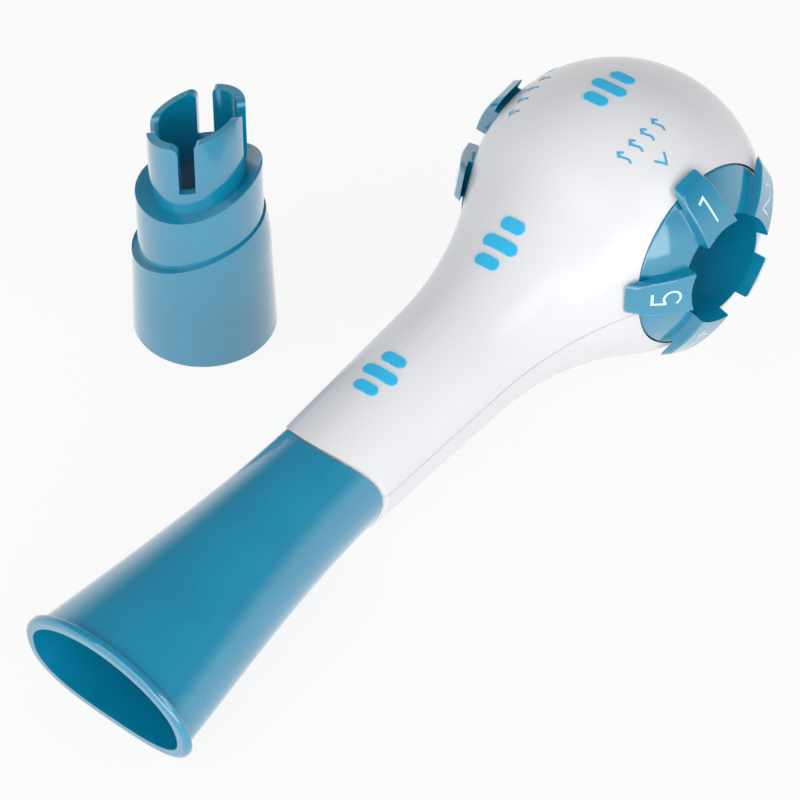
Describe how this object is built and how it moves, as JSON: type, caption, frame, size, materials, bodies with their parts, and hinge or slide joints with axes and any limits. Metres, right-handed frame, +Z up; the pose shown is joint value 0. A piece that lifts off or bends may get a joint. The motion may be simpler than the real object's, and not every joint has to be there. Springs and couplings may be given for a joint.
{
  "type": "breathing trainer",
  "caption": "Hand-held breathing trainer: a ball-headed clamshell with lobed resistance dials on both sides, a flared pull-off mouthpiece and a loose stepped adapter.",
  "frame": {"origin": "on the floor under the middle of the whole set, trainer and adapter together", "axes": "+X along the trainer from the mouthpiece toward the round head, +Y from the exhale dial toward the inhale dial, +Z up from the floor"},
  "size_m": [0.1614, 0.097, 0.0539],
  "materials": {
    "white_housing": "satin moulded",
    "blue_plastic": "semi-gloss moulded",
    "disc_plastic": "satin moulded",
    "grip_mark": "soft satin",
    "inner_plastic": "matte moulded",
    "seal_rubber": "matte",
    "valve_rubber": "soft satin"
  },
  "bodies": {
    "housing": {"upper_shell": "white_housing", "lower_shell": "white_housing", "grip_marks_neck": "grip_mark", "grip_marks_middle": "grip_mark", "grip_marks_head": "grip_mark", "airway_tube": "inner_plastic", "cross_duct": "inner_plastic", "tube_ring": "seal_rubber", "exhale_port_plate": "inner_plastic", "exhale_port_seal": "seal_rubber", "exhale_drag_ring": "seal_rubber", "exhale_valve_seat": "inner_plastic", "inhale_port_plate": "inner_plastic", "inhale_port_seal": "seal_rubber", "inhale_drag_ring": "seal_rubber", "inhale_valve_seat": "inner_plastic"},
    "exhale_dial": {"exhale_dial": "blue_plastic", "exhale_orifice_disc": "disc_plastic"},
    "inhale_dial": {"inhale_dial": "blue_plastic", "inhale_orifice_disc": "disc_plastic"},
    "exhale_flap": {"exhale_valve_flap": "valve_rubber"},
    "inhale_flap": {"inhale_valve_flap": "valve_rubber"},
    "mouthpiece": {"mouthpiece": "blue_plastic"},
    "adapter": {"adapter": "blue_plastic"}
  },
  "joints": [
    {"name": "exhale_dial_turn", "type": "hinge", "parent": "housing", "child": "exhale_dial", "pos_m": [0.05393, -0.02071, 0.0268], "axis": [-0.0472, -0.9975, 0.0519], "continuous": true},
    {"name": "inhale_dial_turn", "type": "hinge", "parent": "housing", "child": "inhale_dial", "pos_m": [0.05393, -0.02071, 0.0268], "axis": [-0.0324, 0.9975, -0.0622], "continuous": true},
    {"name": "exhale_flap_lift", "type": "slide", "parent": "housing", "child": "exhale_flap", "axis": [-0.0472, -0.9975, 0.0519], "range_m": [0, 0.0012], "stiffness_N_per_m": 5},
    {"name": "inhale_flap_lift", "type": "slide", "parent": "housing", "child": "inhale_flap", "axis": [0.0324, -0.9975, 0.0622], "range_m": [0, 0.0012], "stiffness_N_per_m": 5},
    {"name": "mouthpiece_pull", "type": "slide", "parent": "housing", "child": "mouthpiece", "axis": [-0.9918, 0, -0.128], "range_m": [0, 0.024]},
    {"name": "adapter_lift", "type": "slide", "parent": "housing", "child": "adapter", "axis": [0, 0, 1], "range_m": [0, 0.06]}
  ]
}
